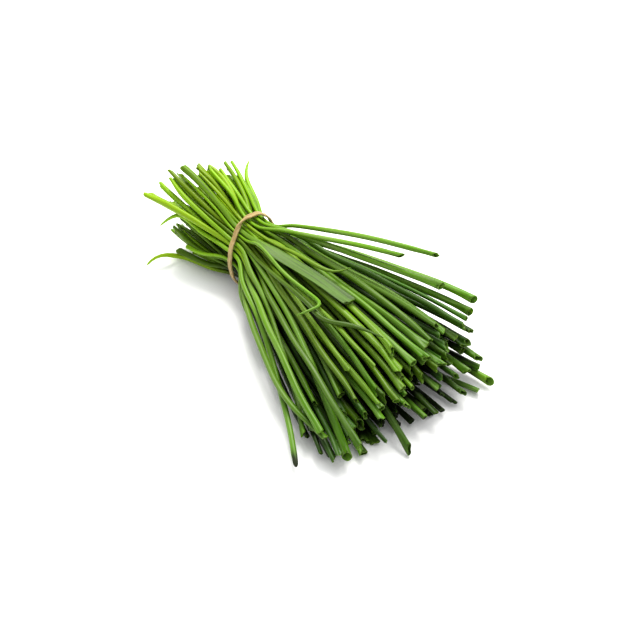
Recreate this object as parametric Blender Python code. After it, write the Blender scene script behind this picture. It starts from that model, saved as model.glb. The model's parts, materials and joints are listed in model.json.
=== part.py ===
"""A bunch of chives lying down, tied with one rubber band.

The leaves pass through the band side by side, flare up over a short cut end and
fan out low over a long cut end. Frame: origin on the floor at the middle of the
band's pressed bottom, +X along the bunch to the long end, +Z up. Metres in Blender,
while the named sizes below are millimetres, with X counted from the loop's middle.
"""

from math import cos, pi, radians, sin, sqrt, tan

import bmesh
import bpy
import numpy as np

MM = 0.001
SEED = 11

# The rubber band: a loop of flat rubber drawn tight round the waist.
BAND_INNER = 14.9  # radius of the loop seen along the bunch
BAND_THICK = 1.0
BAND_WIDTH = 2.5
BAND_YAW = 15.4  # degrees by which the loop sits askew, seen from above
BAND_LEAN = 14.7  # degrees by which its top leans to the short side
BAND_Z = BAND_INNER + BAND_THICK - 0.6  # middle of the loop: its bottom is pressed flat
BAND_FOOT = BAND_Z * tan(radians(BAND_LEAN))  # X of the loop's pressed bottom from its middle
BAND_STEPS = 36
TWISTS = ((104.0, 1.0), (318.0, -1.0))  # where the band turns over, in degrees round it
TWIST_SPAN = 46.0
BAND_HALF = 4.5  # reach to either side of the band in which every leaf runs straight

# The leaves
SIDES = 5
SIDE_GROWTH = 1.06  # a five-sided leaf this much wider keeps the round leaf's bulk
CLEAR = 0.34  # room between leaves that are not joined
STATIONS = np.array([-58.0, -34.0, -16.0, -BAND_HALF, BAND_HALF, 16.0, 34.0, 58.0, 86.0, 128.0])
WITH_BAND = np.array([0.0, 0.3, 0.8, 1.0, 1.0, 0.8, 0.3, 0.0, 0.0, 0.0])  # share of the band's slant
SHORT_SIDE = [3, 2, 1, 0]  # stations from the band outwards
LONG_SIDE = [4, 5, 6, 7, 8, 9]
CHECK_EVERY = 4.5  # distance between two places where room is made
ROUNDS = 380
LAST_ROUNDS = 240  # rounds in which making room comes first and stiffness fades
TUFTS = 30
LEAVES_IN_TUFT = 4
MEAN_RADIUS = 1.10
PINCH = 0.72  # share of its width that a leaf keeps inside the band
BROAD_HALF_WIDTH = 3.0
BROAD_HALF_THICK = 0.55
CURL_REACH = 2.2  # a leaf with a curled tip lies above its neighbours as far as this

# Leaves with a node each: name, radius, place in the waist (y, z), long tip, short tip,
# and how far each side bows off its straight run (y, z).
SINGLES = [
    ("leaf_broad", 1.6, (-3.8, 27.5), (66, 1.5, 33), (-40, -7.5, 38), (-1.2, 2), (0, 0)),
    ("leaf_hooked", 0.9, (-1.7, 28.2), (45, 4, 33), (-36, -1, 34), (0, 1), (0, 0)),
    ("leaf_arch_1", 1.0, (10.8, 23.2), (81, 35, 47), (-39, 17, 31), (-2.5, 9.5), (0, 0)),
    ("leaf_arch_2", 1.1, (2.0, 28.1), (68, 27, 44), (-36, 1, 33), (0.5, 4.5), (0, 0)),
    ("leaf_arch_3", 1.15, (6.0, 26.7), (88, 32.5, 38), (-35, 9, 33), (-3, 5), (0, 0)),
    ("leaf_far_1", 1.4, (11.6, 18.4), (98, 40.5, 33), (-34, 22, 25), (0, 4), (0, 0)),
    ("leaf_far_2", 1.3, (12.3, 15.5), (99, 38, 28), (-27, 15, 15), (0, 2), (0, 0)),
    ("leaf_far_3", 1.3, (12.0, 11.9), (111, 32.5, 14), (-25, 14, 11), (0, 0), (0, 0)),
    ("leaf_corner", 1.4, (10.7, 8.4), (117, 35, 4), (-30, 15, 6), (0, 0), (0, 0)),
    ("leaf_curl_2", 0.85, (-8.3, 25.8), (70, -14, 31), (-34, -12, 33), (-1.5, 1), (0, 0)),
    ("leaf_curl_1", 0.8, (-6.6, 26.9), (61, -8.5, 32), (-37, -9, 35), (-3.2, 1), (0, 0)),
    ("leaf_near_1", 1.15, (-10.7, 21.7), (103, -55.5, 3), (-31, -19, 25), (7, 0), (0, 0)),
    ("leaf_near_2", 1.1, (-9.6, 24.0), (94, -47.5, 5), (-40, -12, 37), (5, 0), (0, 0)),
    ("leaf_near_3", 1.45, (-6.6, 25.4), (113, -39, 3), (-40, -10, 36), (3, 0), (0, 0)),
    ("leaf_near_4", 1.0, (-12.2, 17.0), (45, -25, 4), (-22, -14, 14), (2, 0), (0, 0)),
    ("leaf_middle", 1.35, (-1.6, 25.6), (124, -15.5, 3), (-35, -1, 33), (0, 0), (0, 0)),
    ("leaf_thick", 1.75, (-9.4, 22.6), (106, -27, 6), (-46, -22, 28), (0, 0), (0, 1)),
    ("leaf_stray", 1.05, (-7.0, 4.8), (99, -32, 3), (-29, -21, 3), (0, 0), (0, 0)),
]
# Steps from a thin leaf's last point to its curled tip (x, y, z), on the long side.
CURLS = {
    "leaf_hooked": ((3.2, 1.0, -0.2), (2.4, 2.4, 0.0), (1.4, 2.8, 0.8), (0.6, 1.8, 1.4)),
    "leaf_curl_1": ((2.0, -2.0, 1.9), (-0.4, -4.2, 0.3), (-1.1, -4.0, -0.3), (-0.8, -3.0, -0.6)),
    "leaf_curl_2": ((5.3, 4.7, 0.4), (4.5, 2.6, 0.0), (5.4, 2.7, -0.3), (5.5, 2.5, -0.7)),
}
# The same on the short side.
SHORT_CURLS = {
    "leaf_stray": ((-3.0, -7.1, 2.3), (-1.6, -3.6, -1.4), (-0.9, -2.7, -2.6)),
    "leaf_far_1": ((-2.4, 2.2, 1.2), (-1.6, 2.7, 1.3)),
    "leaf_near_1": ((-2.2, -2.4, -2.2), (-2.8, -2.8, -4.4)),
}
# Tips that stand out, each reached by the nearest leaf of a tuft (x, y, z).
LONG_TIPS = [
    (102, 33, 25), (105, 31.5, 20), (98, 20, 30), (100, 20, 27), (111, 34, 8),
    (117, 28.5, 3), (106, 19, 20), (111, 14, 17), (105, 2, 26), (109, 2, 20), (99, -14, 30),
    (97, -4, 29), (103, -5, 24), (106, -41, 3), (93, -42, 3), (99, -31, 12), (108, -14, 10),
    (104, -20, 12), (107, -13, 18), (105, -27, 6), (108, -26, 3), (109, -20, 4), (113, -5, 3),
    (114, 5, 2), (116, 9, 2), (116, 16, 3), (117, 20, 5),
]
SHORT_TIPS = [
    (-44, -16, 33), (-44, -11, 38), (-40, -1, 37), (-38, 1, 34), (-38, 13, 32), (-42, -8, 36),
    (-30, -17, 23), (-42, -12, 22), (-33, -17, 17), (-29, -19, 7), (-25, -15, 6),
]

# Colour (linear), roughness
GREEN_LOOK = ((0.090, 0.200, 0.022), 0.42)
BRIGHT_LOOK = ((0.160, 0.300, 0.025), 0.40)
DEEP_LOOK = ((0.040, 0.120, 0.018), 0.45)
BLUISH_LOOK = ((0.095, 0.190, 0.075), 0.55)
BAND_LOOK = ((0.520, 0.360, 0.160), 0.60)
BRIGHT_LEAVES = ("leaf_thick", "leaf_stray", "leaf_corner", "leaf_hooked")


def draw_leaves():
    """Every leaf as a dict: node, radius, place in the waist, two tips and two bows."""
    leaves = []
    for name, radius, waist, long_tip, short_tip, long_bow, short_bow in SINGLES:
        leaves.append(dict(node=name, radius=radius, waist=waist, long=long_tip,
                           short=short_tip, long_bow=long_bow, short_bow=short_bow))
    rng = np.random.default_rng(SEED)
    golden = pi * (3 - sqrt(5))
    for tuft in range(TUFTS):
        reach = 12.2 * sqrt((tuft + 0.5) / TUFTS)
        y = reach * cos(tuft * golden)
        z = BAND_Z - 1.0 + reach * sin(tuft * golden)
        for k in range(LEAVES_IN_TUFT):
            turn = 2 * pi * (k / LEAVES_IN_TUFT + 0.11 * tuft)
            waist = (y + cos(turn), z + sin(turn))
            across = waist[0] / 13.4
            above = (waist[1] - BAND_Z) / 13.4
            radius = float(np.clip(rng.normal(MEAN_RADIUS, 0.15), 0.85, 1.5))
            long_lean = -0.05 + 0.30 * across + rng.normal(0, 0.035)
            long_run = (rng.normal(107, 6.0) - 5.0 * max(across, 0.0)) / sqrt(1 + long_lean ** 2)
            long_y = waist[0] + long_run * long_lean
            long_z = max(15 + 13 * above + 8 * across + rng.normal(0, 2.0), radius)
            short_run = rng.uniform(23, 40)
            short_y = waist[0] + short_run * (0.02 + 0.16 * across + rng.normal(0, 0.05))
            short_z = waist[1] + short_run * (0.08 + 0.13 * above + rng.normal(0, 0.05))
            leaves.append(dict(
                node="tuft_%02d" % (tuft + 1), radius=radius, waist=waist,
                long=(long_run, long_y, long_z),
                short=(-short_run, short_y, max(short_z, radius)),
                long_bow=(rng.normal(0.0, 1.2), rng.normal(1.0, 1.0)),
                short_bow=(rng.normal(0.0, 0.6), rng.normal(0.3, 0.6)),
            ))
    give_tips(leaves, "long", LONG_TIPS)
    give_tips(leaves, "short", SHORT_TIPS)
    return leaves


def give_tips(leaves, side, tips):
    """Each listed tip goes to the tuft leaf that already ends nearest to it."""
    free = [leaf for leaf in leaves if leaf["node"].startswith("tuft")]
    for tip in tips:
        def miss(leaf):
            share = tip[0] / leaf[side][0]
            y, z = np.array(leaf["waist"]) * (1 - share) + np.array(leaf[side][1:]) * share
            return (y - tip[1]) ** 2 + 2.0 * (z - tip[2]) ** 2
        nearest = min(free, key=miss)
        nearest[side] = tip
        free.remove(nearest)


def band_shift(y, z):
    """How far along X the askew band sits at a place in the waist."""
    return -tan(radians(BAND_YAW)) * y - tan(radians(BAND_LEAN)) * (z - BAND_Z)


def leaf_radius(radius, off):
    """Radius at a distance along X from the band: pinched in it, fuller on the short side."""
    pinched = PINCH + (1.0 - PINCH) * np.clip((np.abs(off) - BAND_HALF) / 32.0, 0.0, 1.0)
    side = np.where(np.less(off, 0.0), 1.04, 1.0 + 0.0016 * np.clip(off, 0.0, 200.0))
    return radius * pinched * side


def straight_paths(leaves):
    """First (x, y, z) of every leaf at every station: straight from the band, then its bow."""
    waist = np.array([leaf["waist"] for leaf in leaves], float)
    paths = np.zeros((len(leaves), len(STATIONS), 3))
    paths[:, :, 0] = STATIONS + band_shift(waist[:, 0], waist[:, 1])[:, None] * WITH_BAND
    for side, stations in (("short", SHORT_SIDE), ("long", LONG_SIDE)):
        tips = np.array([leaf[side] for leaf in leaves], float)
        bows = np.array([leaf[side + "_bow"] for leaf in leaves], float)
        start = paths[:, stations[0], 0]
        for k in stations:
            share = (paths[:, k, 0] - start) / (tips[:, 0] - start)
            inner = np.clip(share, 0.0, 1.2)
            paths[:, k, 1:] = waist + (tips[:, 1:] - waist) * share[:, None]
            paths[:, k, 1:] += bows * (4 * inner * (1 - inner))[:, None]
    return paths


def smoother(stations):
    """Matrix that replaces a side's stations with the parabola that fits them best."""
    off = np.abs(STATIONS[stations] - STATIONS[stations[0]]) / 100.0
    powers = np.stack([np.ones_like(off), off, off ** 2], 1)
    weight = np.ones_like(off)
    weight[0] = 4.0
    return powers @ np.linalg.pinv(powers * weight[:, None]) @ np.diag(weight)


def planes_across(paths, leaves):
    """Planes in which room is made: who passes, between which stations and how far along."""
    first = np.array([leaf["short"][0] for leaf in leaves]) - 0.8
    final = np.array([leaf["long"][0] for leaf in leaves]) + 0.8
    radius = np.array([leaf["radius"] for leaf in leaves])
    waist = (paths[:, 3, 0] + paths[:, 4, 0]) / 2
    everyone = np.arange(len(leaves))
    inside = np.full(len(leaves), SHORT_SIDE[0])
    length = paths[:, 4, 0] - paths[:, 3, 0]
    planes = [(everyone, inside, 0.5 * np.ones((len(leaves), 1)), length[:, None],
               leaf_radius(radius, 0.0), np.zeros(len(leaves)))] * 3
    for x in np.arange(STATIONS[0] + 2.0, STATIONS[-1], CHECK_EVERY):
        here = np.nonzero((first <= x) & (x <= final))[0]
        if len(here) < 2:
            continue
        k = np.clip((paths[here, :, 0] <= x).sum(1) - 1, 0, len(STATIONS) - 2)
        run = paths[here, k + 1, 0] - paths[here, k, 0]
        t = (x - paths[here, k, 0]) / run
        off = x - waist[here]
        planes.append((here, k, t[:, None], run[:, None], leaf_radius(radius[here], off), np.abs(off)))
    return planes


def make_room(paths, leaves):
    """Moves the leaves apart until none touches another, inside the band and over the floor."""
    start = paths[:, :, 1:].copy()
    radius = np.array([leaf["radius"] for leaf in leaves])
    node = np.array([leaf["node"] for leaf in leaves])
    together = node[:, None] == node[None, :]
    np.fill_diagonal(together, False)
    order = np.arange(len(leaves))
    joined = together & (np.abs(order[:, None] - order[None]) == 1)
    planes = planes_across(paths, leaves)
    smooth = [(side, smoother(side)) for side in (SHORT_SIDE, LONG_SIDE)]
    spots = paths[:, :, 1:]
    for turn in range(ROUNDS):
        left = min((ROUNDS - turn) / LAST_ROUNDS, 1.0)
        waist = spots[:, 3]
        at_waist = waist[:, None] - waist[None]
        push = np.zeros_like(spots)
        weight = np.zeros(spots.shape[:2])
        for here, k, t, run, size, off in planes:
            a, b = spots[here, k], spots[here, k + 1]
            pairs = np.ix_(here, here)
            moves = separation(a * (1 - t) + b * t, (b - a) / run, size, off, at_waist[pairs],
                               together[pairs], joined[pairs], CLEAR + 0.02 + 0.1 * left)
            push[here, k] += moves * (1 - t)
            push[here, k + 1] += moves * t
            weight[here, k] += 1 - t[:, 0]
            weight[here, k + 1] += t[:, 0]
        spots += push / np.maximum(weight, 1.0)[..., None] * 2.4
        stiff = 0.35 * max(left - 0.5, 0.0)
        for side, matrix in smooth:
            fitted = np.einsum("ij,njc->nic", matrix, spots[:, side])
            spots[:, side] += stiff * (fitted - spots[:, side])
        spots[:, 3:5] = spots[:, 3:5].mean(1, keepdims=True)
        if left == 1.0:
            spots += 0.008 * (start - spots)
        hold_in(spots, radius)
    return paths


def separation(at, slope, size, off, at_waist, together, joined, clear):
    """How far each leaf moves in y and z at one plane, to stand clear of the others.

    Near the band the leaves keep the order that they have in the waist. The leaves of a
    tuft may touch there, and each is drawn to the next one.
    """
    apart = at[:, None] - at[None]
    lean = (slope[:, None] + slope[None]) / 2
    straight = (apart ** 2).sum(-1)
    along = (apart * lean).sum(-1) ** 2 / (1 + (lean ** 2).sum(-1))
    distance = np.sqrt(np.maximum(straight - along, 1e-6))
    both = size[:, None] + size[None]
    banded = np.maximum(off[:, None], off[None])
    drawn = joined & (banded <= BAND_HALF)
    wanted = np.where(together & (banded <= 2 * BAND_HALF), 0.85 * both, both + clear)
    wanted = np.where(drawn, 0.74 * both, wanted)
    over = wanted - distance
    np.fill_diagonal(over, 0.0)
    over = np.where(drawn, over, np.maximum(over, 0.0))
    way = apart + at_waist * (0.6 * np.exp(-banded / 14.0))[..., None]
    unit = way / np.sqrt(np.maximum((way ** 2).sum(-1), 1e-6))[..., None]
    count = np.maximum((over != 0).sum(1), 1)
    return (unit * over[..., None]).sum(1) * 0.45 / np.sqrt(count)[:, None]


def hold_in(spots, radius):
    """Keeps every leaf inside the band at the waist and on the floor elsewhere."""
    centre = np.array([0.0, BAND_Z])
    for k, x in enumerate(STATIONS):
        size = leaf_radius(radius, x)
        lowest = 0.85 * size
        if abs(x) <= BAND_HALF:
            limit = BAND_INNER - CLEAR - size
            off = spots[:, k] - centre
            far = np.maximum(np.sqrt((off ** 2).sum(1)), limit)
            spots[:, k] = centre + off * (limit / far)[:, None]
            lowest = BAND_THICK + CLEAR + size
        spots[:, k, 1] = np.maximum(spots[:, k, 1], lowest)


def place_on(path, x):
    """(y, z) of one leaf's path at x."""
    return np.array([np.interp(x, path[:, 0], path[:, 1]), np.interp(x, path[:, 0], path[:, 2])])


def half_sizes(leaf, x):
    """Half width and half height of a leaf at x: the broad leaf is flat past the band."""
    off = x - band_shift(*leaf["waist"])
    size = float(leaf_radius(leaf["radius"], off)) * SIDE_GROWTH
    if leaf["node"] != "leaf_broad":
        return size, size
    flat = min(max((off - 2.2 * BAND_HALF) / 14.0, 0.0), 1.0)
    return size * (1 - flat) + BROAD_HALF_WIDTH * flat, size * (1 - flat) + BROAD_HALF_THICK * flat


def top_under(paths, leaves, own, x, y, reach):
    """Height of the highest leaf within reach of a place, leaving one leaf out."""
    top = 0.0
    for i, leaf in enumerate(leaves):
        if i == own or not leaf["short"][0] - 2.0 < x < leaf["long"][0] + 2.0:
            continue
        spot = place_on(paths[i], x)
        wide, high = half_sizes(leaf, x)
        if abs(spot[0] - y) < reach + wide:
            top = max(top, spot[1] + high)
    return top


def lay_over(paths, leaves):
    """Settles the broad leaf and the curled ones on whatever lies under them."""
    for i, leaf in enumerate(leaves):
        leaf["hops"] = [np.array(hop) for hop in CURLS.get(leaf["node"], ())]
        if leaf["node"] != "leaf_broad" and not leaf["hops"]:
            continue
        for k in LONG_SIDE[1:]:
            x, y = paths[i, k, :2]
            wide, high = half_sizes(leaf, x)
            curling = leaf["hops"] and x > leaf["long"][0] - 14.0
            reach = wide + (CURL_REACH if curling else 0.2)
            paths[i, k, 2] = top_under(paths, leaves, i, x, y, reach) + CLEAR + high
        at = np.array([leaf["long"][0], *place_on(paths[i], leaf["long"][0])])
        for k, hop in enumerate(leaf["hops"]):
            after = at + hop
            size = half_sizes(leaf, after[0])[1]
            for share in (0.25, 0.5, 0.75, 1.0):
                x, y = at[0] + share * hop[0], at[1] + share * hop[1]
                after[2] = max(after[2], top_under(paths, leaves, i, x, y, size + 0.7) + CLEAR + size)
            leaf["hops"][k] = after - at
            at = after
    return paths


def grow_paths():
    """The leaves and the path of each, with nothing touching."""
    leaves = draw_leaves()
    paths = make_room(straight_paths(leaves), leaves)
    return leaves, lay_over(paths, leaves)


def centre_line(leaf, path):
    """Points of one leaf from its short tip to its long tip, in millimetres."""
    ends = (leaf["short"][0], leaf["long"][0])
    xs = [ends[0]] + [x for x in path[:, 0] if ends[0] + 2 < x < ends[1] - 2] + [ends[1]]
    points = [np.array([x, *place_on(path, x)]) for x in xs]
    for hop in leaf["hops"]:
        points.append(points[-1] + hop)
    for hop in SHORT_CURLS.get(leaf["node"], ()):
        points.insert(0, points[0] + np.array(hop))
    return np.array(points)


def leaf_sections(leaf, points, rng):
    """Rings of points round a leaf's line: five-sided, flat on the broad leaf, cut on a slant."""
    tangents = np.gradient(points, axis=0)
    slant = rng.uniform(0.0, 0.5, 2)
    turn = rng.uniform(0.0, 2 * pi, 2)
    rings = []
    for k, (point, tangent) in enumerate(zip(points, tangents)):
        tangent = tangent / np.linalg.norm(tangent)
        side = np.cross((0.0, 0.0, 1.0), tangent)
        side = side / np.linalg.norm(side)
        up = np.cross(tangent, side)
        wide, high = half_sizes(leaf, point[0])
        size = high
        left = min(k, len(points) - 1 - k)
        if leaf["node"] in CURLS and k > len(points) // 2 and left < 3:
            wide = high = size * (0.5, 0.75, 0.9)[left]
        if leaf["node"] in SHORT_CURLS and k < len(points) // 2 and left < 2:
            wide = high = size * (0.55, 0.8)[left]
        ring = []
        for s in range(SIDES):
            angle = pi / 2 + 2 * pi * s / SIDES
            spot = point + side * wide * cos(angle) + up * high * sin(angle)
            if k in (0, len(points) - 1):
                end = int(k > 0)
                spot = spot + tangent * size * slant[end] * cos(angle - turn[end])
            spot[2] = max(spot[2], 0.0)
            ring.append(spot)
        rings.append(ring)
    return rings


def loft(name, rings, closed=False):
    """A mesh through the rings, with both ends capped or the last ring joined to the first."""
    bm = bmesh.new()
    rows = [[bm.verts.new((np.array(spot) - (BAND_FOOT, 0.0, 0.0)) * MM) for spot in ring] for ring in rings]
    pairs = list(zip(rows, rows[1:]))
    if closed:
        pairs.append((rows[-1], rows[0]))
    else:
        bm.faces.new(rows[0])
        bm.faces.new(rows[-1][::-1])
    for row, after in pairs:
        for s in range(len(row)):
            t = (s + 1) % len(row)
            bm.faces.new((row[s], after[s], after[t], row[t]))
    bmesh.ops.triangulate(bm, faces=bm.faces[:])
    bmesh.ops.recalc_face_normals(bm, faces=bm.faces[:])
    if bm.calc_volume(signed=True) < 0:
        bmesh.ops.reverse_faces(bm, faces=bm.faces[:])
    mesh = bpy.data.meshes.new(name)
    bm.to_mesh(mesh)
    bm.free()
    return mesh


def add_object(name, mesh, collection, parent=None, material=None):
    """An object for a mesh, with its parent and its material."""
    thing = bpy.data.objects.new(name, mesh)
    collection.objects.link(thing)
    thing.parent = parent
    if material:
        mesh.materials.clear()
        mesh.materials.append(material)
    return thing


def fill_voids(mesh):
    """Deletes the skins of hollows that ended up sealed between the leaves of a tuft."""
    bm = bmesh.new()
    bm.from_mesh(mesh)
    waiting = set(bm.verts)
    while waiting:
        shell = set()
        edge = [waiting.pop()]
        while edge:
            vert = edge.pop()
            shell.add(vert)
            for link in vert.link_edges:
                after = link.other_vert(vert)
                if after in waiting:
                    waiting.remove(after)
                    edge.append(after)
        faces = {face for vert in shell for face in vert.link_faces}
        volume = sum(face.calc_center_median().dot(face.normal) * face.calc_area() for face in faces)
        if volume < 0.0:
            bmesh.ops.delete(bm, geom=list(shell), context="VERTS")
    bm.to_mesh(mesh)
    bm.free()


def join_tuft(name, meshes, collection, parent, material):
    """One body from the leaves of a tuft, joined where the band presses them together."""
    base = add_object(name, meshes[0], collection, parent)
    others = bpy.data.collections.new(name + "_joined")
    bpy.context.scene.collection.children.link(others)
    for k, mesh in enumerate(meshes[1:]):
        add_object("%s_leaf_%d" % (name, k), mesh, others)
    join = base.modifiers.new("join", "BOOLEAN")
    join.operation = "UNION"
    join.operand_type = "COLLECTION"
    join.collection = others
    join.solver = "EXACT"
    bpy.context.view_layer.update()
    graph = bpy.context.evaluated_depsgraph_get()
    joined = bpy.data.meshes.new_from_object(base.evaluated_get(graph))
    fill_voids(joined)
    base.modifiers.clear()
    base.data = joined
    joined.name = name
    joined.materials.clear()
    joined.materials.append(material)
    for leaf in list(others.objects):
        bpy.data.objects.remove(leaf)
    bpy.data.collections.remove(others)
    return base


def band_sections():
    """Sections round the loop: a flat strip that turns over twice, pressed flat at the bottom."""
    middle = BAND_INNER + BAND_THICK / 2
    flat_at = np.degrees(np.arccos((BAND_Z - BAND_THICK / 2) / middle))
    rings = []
    for k in range(BAND_STEPS):
        degrees = 270.0 + flat_at + (360.0 - 2 * flat_at) * k / (BAND_STEPS - 1)
        angle = radians(degrees)
        turned = 0.0
        for place, way in TWISTS:
            off = (degrees % 360.0 - place) / TWIST_SPAN
            if degrees % 360.0 < place - TWIST_SPAN / 2:
                off = -0.5
            off = min(max(off, -0.5), 0.5)
            turned += way * pi * (off + 0.5)
        reach = BAND_WIDTH * abs(sin(turned)) + BAND_THICK * abs(cos(turned))
        lifted = (reach - BAND_THICK) / 2
        out = np.array([0.0, cos(angle), sin(angle)])
        centre = out * (middle + lifted)
        centre[2] += BAND_Z
        centre[0] = band_shift(centre[1], centre[2])
        along = np.array([1.0, 0.0, 0.0])
        if k in (0, BAND_STEPS - 1):
            out = np.array([0.0, 0.0, -1.0])
        ring = []
        for u, v in ((-1, -1), (1, -1), (1, 1), (-1, 1)):
            wide, thick = u * BAND_WIDTH / 2, v * BAND_THICK / 2
            ring.append(centre + along * (wide * cos(turned) - thick * sin(turned))
                        + out * (wide * sin(turned) + thick * cos(turned)))
        rings.append(ring)
    return rings


def principled(name, look):
    material = bpy.data.materials.new(name)
    material.use_nodes = True
    shader = material.node_tree.nodes["Principled BSDF"]
    colour, roughness = look
    shader.inputs["Base Color"].default_value = (*colour, 1.0)
    shader.inputs["Roughness"].default_value = roughness
    shader.inputs["Metallic"].default_value = 0.0
    return material


def look_of(name):
    """Name and values of a leaf's green; every fourth tuft is bright and every fourth deep."""
    turn = int(name[-2:]) % 4 if name.startswith("tuft") else 1
    if name == "leaf_broad":
        return "leaf_bluish", BLUISH_LOOK
    if name in BRIGHT_LEAVES or turn == 0:
        return "leaf_bright", BRIGHT_LOOK
    return ("leaf_deep", DEEP_LOOK) if turn == 2 else ("leaf_green", GREEN_LOOK)


def build():
    for thing in list(bpy.data.objects):
        bpy.data.objects.remove(thing)
    collection = bpy.data.collections.new("chive_bunch")
    bpy.context.scene.collection.children.link(collection)
    bunch = bpy.data.objects.new("bunch", None)
    collection.objects.link(bunch)

    add_object("rubber_band", loft("rubber_band", band_sections(), closed=True),
               collection, bunch, principled("band_rubber", BAND_LOOK))

    rng = np.random.default_rng(SEED + 1)
    leaves, paths = grow_paths()
    tufts = {}
    for leaf, path in zip(leaves, paths):
        name = leaf["node"]
        mesh = loft(name, leaf_sections(leaf, centre_line(leaf, path), rng))
        if name.startswith("tuft"):
            tufts.setdefault(name, []).append(mesh)
            continue
        finish, look = look_of(name)
        add_object(name, mesh, collection, bunch, principled(name + "_" + finish, look))
    for name, meshes in tufts.items():
        finish, look = look_of(name)
        join_tuft(name, meshes, collection, bunch, principled(name + "_" + finish, look))


build()
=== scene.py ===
# %% [markdown]
# # A bunch of chives, tied with one rubber band
# The imported model gives every leaf its place as a plain five-sided solid. This
# notebook dresses it: each leaf becomes a fine rounded one with veins, a waxy
# bloom that also serves as painted highlight, painted shade where other leaves
# lie over it, and cut ends that open a little way inwards, and the band becomes
# soft, slightly ridged latex.

# %% Load the frame
import json
from math import cos, pi, radians, sin, sqrt, tan

import bpy
import numpy as np
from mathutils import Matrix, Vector


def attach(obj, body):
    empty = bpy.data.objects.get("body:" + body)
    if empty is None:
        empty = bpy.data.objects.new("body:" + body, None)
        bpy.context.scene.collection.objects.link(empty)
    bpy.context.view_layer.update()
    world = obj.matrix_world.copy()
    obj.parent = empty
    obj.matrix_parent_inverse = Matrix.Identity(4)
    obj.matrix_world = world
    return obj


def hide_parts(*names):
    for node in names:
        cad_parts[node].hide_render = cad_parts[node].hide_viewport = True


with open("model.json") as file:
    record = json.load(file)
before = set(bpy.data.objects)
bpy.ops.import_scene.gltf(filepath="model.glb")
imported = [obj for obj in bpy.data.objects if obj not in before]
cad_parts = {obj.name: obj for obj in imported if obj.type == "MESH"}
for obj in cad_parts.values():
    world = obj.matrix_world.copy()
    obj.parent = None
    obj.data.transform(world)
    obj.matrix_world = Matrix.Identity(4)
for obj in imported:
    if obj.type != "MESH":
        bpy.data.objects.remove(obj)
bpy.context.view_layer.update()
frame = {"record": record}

SLOT_OF = {part["node"]: part["material_slot"] for part in frame["record"]["subparts"]}
MM = 0.001
print("nodes to dress:", len(SLOT_OF))

# %% [markdown]
# ## The camera
# The bunch lies with its long end turned towards the viewer and to the right.
# A long lens from three quarters of a metre keeps the leaves from looking
# stretched. Two angles, a distance and an aim point on the table say it all.

# %% Camera
ELEVATION = radians(45.0)
TURN = radians(51.0)  # how far the bunch's +X points from the viewer's right towards the viewer
AIM = Vector((0.0370, 0.0051, 0.0))
AWAY = 0.7297
towards = Vector((sin(TURN) * cos(ELEVATION), -cos(TURN) * cos(ELEVATION), sin(ELEVATION)))
lens = bpy.data.cameras.new("camera")
lens.sensor_width = 36.0
lens.lens = 93.75
camera = bpy.data.objects.new("camera", lens)
camera.location = AIM + towards * AWAY
camera.rotation_euler = towards.to_track_quat("Z", "Y").to_euler()
bpy.context.scene.collection.objects.link(camera)
bpy.context.scene.camera = camera
print("camera at", [round(v, 3) for v in camera.location])

# %% [markdown]
# ## The leaves' layout
# The bunch is grown by a rule. Leaf positions fill the band like seeds in a
# sunflower, tips fan out from there, and then a few hundred rounds of small
# pushes move the leaves apart. Only the leaves of one tuft still meet, at the
# band. The numbers are those of the solid model, in millimetres, so the fine
# leaves follow the plain ones, apart from a slight waver and rounder sides.

# %% Sizes and named leaves
SEED = 11

# The rubber band: a loop of flat rubber drawn tight round the waist.
BAND_INNER = 14.9  # radius of the loop seen along the bunch
BAND_THICK = 1.0
BAND_WIDTH = 2.5
BAND_YAW = 15.4  # degrees by which the loop sits askew, seen from above
BAND_LEAN = 14.7  # degrees by which its top leans to the short side
BAND_Z = BAND_INNER + BAND_THICK - 0.6  # middle of the loop: its bottom is pressed flat
BAND_FOOT = BAND_Z * tan(radians(BAND_LEAN))  # X of the loop's pressed bottom from its middle
TWISTS = ((104.0, 1.0), (318.0, -1.0))  # where the band turns over, in degrees round it
TWIST_SPAN = 46.0
BAND_HALF = 4.5  # reach to either side of the band in which every leaf runs straight

# The leaves
SIDE_GROWTH = 1.06  # a five-sided leaf this much wider keeps the round leaf's bulk
CLEAR = 0.34  # room between leaves that are not joined
STATIONS = np.array([-58.0, -34.0, -16.0, -BAND_HALF, BAND_HALF, 16.0, 34.0, 58.0, 86.0, 128.0])
WITH_BAND = np.array([0.0, 0.3, 0.8, 1.0, 1.0, 0.8, 0.3, 0.0, 0.0, 0.0])  # share of the band's slant
SHORT_SIDE = [3, 2, 1, 0]  # stations from the band outwards
LONG_SIDE = [4, 5, 6, 7, 8, 9]
CHECK_EVERY = 4.5  # distance between two places where room is made
ROUNDS = 380
LAST_ROUNDS = 240  # rounds in which making room comes first and stiffness fades
TUFTS = 30
LEAVES_IN_TUFT = 4
MEAN_RADIUS = 1.10
PINCH = 0.72  # share of its width that a leaf keeps inside the band
BROAD_HALF_WIDTH = 3.0
BROAD_HALF_THICK = 0.55
CURL_REACH = 2.2  # a leaf with a curled tip lies above its neighbours as far as this

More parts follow.
